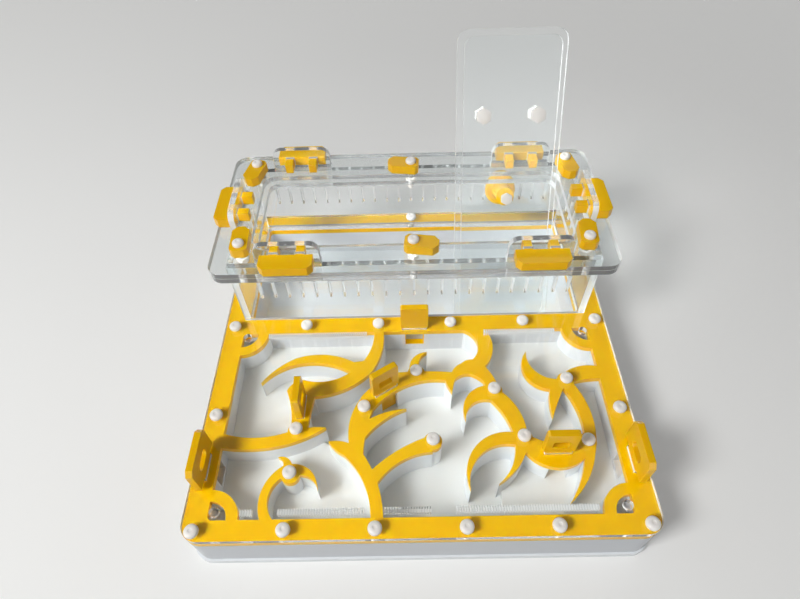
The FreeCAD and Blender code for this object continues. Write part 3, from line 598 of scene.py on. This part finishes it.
# %% Screws and nuts in their places
m3_radius, m3_pitch, m3_flats, m3_hole = 1.5, 0.5, 5.5, 1.55
m4_radius, m4_pitch, m4_flats, m4_hole = 2.0, 0.7, 7.0, 2.05
deck_length, button_length, lid_length, knob_length = 11.0, 16.8, 10.7, 22.75

deck_screw = [turned(pan_rows(3.0, 2.2)), shank(m3_radius, m3_pitch, deck_length, 4.0)]
button_screw = [turned(pan_rows(2.7, 2.2)), shank(m3_radius, m3_pitch, button_length, 16.7)]
button_nut = [turned(hex_rows(m3_flats, 0.0, 2.4, m3_hole) + [(m3_hole, 0.0)])]
lid_nut = [turned(hex_rows(m4_flats, 0.0, 3.2, m4_hole) + [(m4_hole, 0.0)])]
lid_screw = [turned(hex_rows(m4_flats, 0.0, 2.8, tip)), shank(m4_radius, m4_pitch, lid_length, 10.6)]
knob_screw = [turned(hex_rows(m3_flats, 0.0, 2.2, tip)), shank(m3_radius, m3_pitch, knob_length, 6.0)]

fasteners("deck_screws", deck_screw, deck_length)
fasteners("button_screws", button_screw, button_length)
fasteners("button_nuts", button_nut, 0.0)
fasteners("lid_nuts", lid_nut, 0.0, lid_turn, "lid")
fasteners("lid_screws", lid_screw, lid_length, lid_turn, "lid")
fasteners("knob_screw", knob_screw, knob_length, lid_turn, "lid")

# %% [markdown]
# ## Floor
# The nest stands on a plain pale floor. It is pale to the eye but throws less light back, and it keeps
# the nest's shadow. Away from the lamps a real floor would go dark, so from a hand's breadth past the
# nest it fades to an even pale tone, which only the eye, mirrors and glass see.

# %% Floor
floor_half = 4.0
fade_from, fade_full = 0.35, 1.8      # metres from the nest's middle
pale_tone, bounce_tone = "EEEEEC", "C8C8C6"

floor_mesh = bpy.data.meshes.new("floor")
floor_points = np.array([(-1, -1, 0), (1, -1, 0), (1, 1, 0), (-1, 1, 0)]) * floor_half
floor_mesh.from_pydata(floor_points.tolist(), [], [(0, 1, 2, 3)])
floor_paint, tree, out = new_material("pale_floor")
seen = looked_at(tree)
paint = add(tree, "ShaderNodeMix", {0: seen, 6: linear(bounce_tone), 7: linear(pale_tone)}, data_type="RGBA")
lift = add(tree, "ShaderNodeMath", {0: seen, 1: 0.08}, operation="MULTIPLY")
matt = add(tree, "ShaderNodeBsdfPrincipled", {"Base Color": paint.outputs[2], "Roughness": 0.9,
                                              "Specular IOR Level": 0.1, "Emission Color": linear("FFFFFF"),
                                              "Emission Strength": lift.outputs[0]})
spot = add(tree, "ShaderNodeTexCoord")
away = add(tree, "ShaderNodeVectorMath", {0: spot.outputs["Object"]}, operation="LENGTH")
fade = add(tree, "ShaderNodeMapRange", {"Value": away.outputs["Value"], "From Min": fade_from,
                                        "From Max": fade_full, "To Min": 0.0, "To Max": 1.0})
share = add(tree, "ShaderNodeMath", {0: fade.outputs[0], 1: seen}, operation="MULTIPLY")
pale = add(tree, "ShaderNodeEmission", {"Color": linear(pale_tone), "Strength": 1.0})
whole = add(tree, "ShaderNodeMixShader", {0: share.outputs[0], 1: matt.outputs[0], 2: pale.outputs[0]})
tree.links.new(whole.outputs[0], out.inputs["Surface"])
floor_mesh.materials.append(floor_paint)
floor = bpy.data.objects.new("floor", floor_mesh)
bpy.context.scene.collection.objects.link(floor)
floor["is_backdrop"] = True
print("floor", 2 * floor_half, "m wide")

# %% [markdown]
# ## Lamps
# A soft lamp high in front on the left does most of the work: it reaches the far walls of every chamber
# and throws the shadows to the right and back. Three weaker and broader lamps, on the right, at the
# back and low in front, open the shadows. No lamp shows through glass, so none leaves a bright patch
# behind a clear sheet.

# %% Lamps
lamp_aim = Vector((0, 0, 0.02))


def soft_lamp(name, place, size, watts):
    """Square area lamp at a place, turned to the nest."""
    data = bpy.data.lights.new(name, "AREA")
    data.size = size
    data.energy = watts
    lamp = bpy.data.objects.new(name, data)
    lamp.location = place
    lamp.rotation_euler = (lamp_aim - Vector(place)).to_track_quat("-Z", "Y").to_euler()
    lamp.visible_transmission = False
    bpy.context.scene.collection.objects.link(lamp)


soft_lamp("lamp_main", (-0.72, -0.47, 0.86), 0.32, 9.8)
soft_lamp("lamp_right", (0.9, -0.2, 0.8), 0.8, 0.6)
soft_lamp("lamp_back", (0.1, 1.0, 0.8), 0.7, 1.0)
soft_lamp("lamp_front", (0.15, -1.1, 0.5), 0.85, 2.1)
print("lamps", len(bpy.data.lights), "watts", round(sum(lamp.energy for lamp in bpy.data.lights), 1))

# %% [markdown]
# ## Backdrop
# The room has a white backdrop all round and a dim ceiling: polished acrylic mirrors what is above it,
# and under a white ceiling every sheet would look milky. The nest itself gets only a low even light
# from it.

# %% World
room_light = 0.13                     # the even light that the nest gets
backdrop_tone, ceiling_tone = 0.95, 0.12
wall_top, ceiling_from = 0.35, 0.6    # sine of the elevation where the backdrop ends and the ceiling starts

world = bpy.data.worlds.new("studio")
bpy.context.scene.world = world
world.use_nodes = True
sky = world.node_tree
sky.nodes.clear()
toward = add(sky, "ShaderNodeTexCoord")
height = add(sky, "ShaderNodeSeparateXYZ", {0: toward.outputs["Generated"]})
backdrop = add(sky, "ShaderNodeMapRange", {"Value": height.outputs["Z"], "From Min": wall_top,
                                           "From Max": ceiling_from, "To Min": backdrop_tone,
                                           "To Max": ceiling_tone})
level = add(sky, "ShaderNodeMix", {0: looked_at(sky), 2: room_light, 3: backdrop.outputs[0]})
light = add(sky, "ShaderNodeBackground", {"Color": linear("FFFFFF"), "Strength": level.outputs[0]})
add(sky, "ShaderNodeOutputWorld", {"Surface": light.outputs[0]})
bpy.context.scene.view_settings.view_transform = "Standard"
print("world", world.name, "light", room_light)

# %% [markdown]
# ## Finish
# Both boxes, the CAD model's and the visual model's, are measured and printed side by side. The
# visual model has to stay inside the CAD box.

# %% Finish
seen_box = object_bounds()
for name, box in (("CAD", cad_box), ("visual", seen_box)):
    print(name, "box", [round((high - low) / mm, 1) for low, high in zip(*box)], "mm")
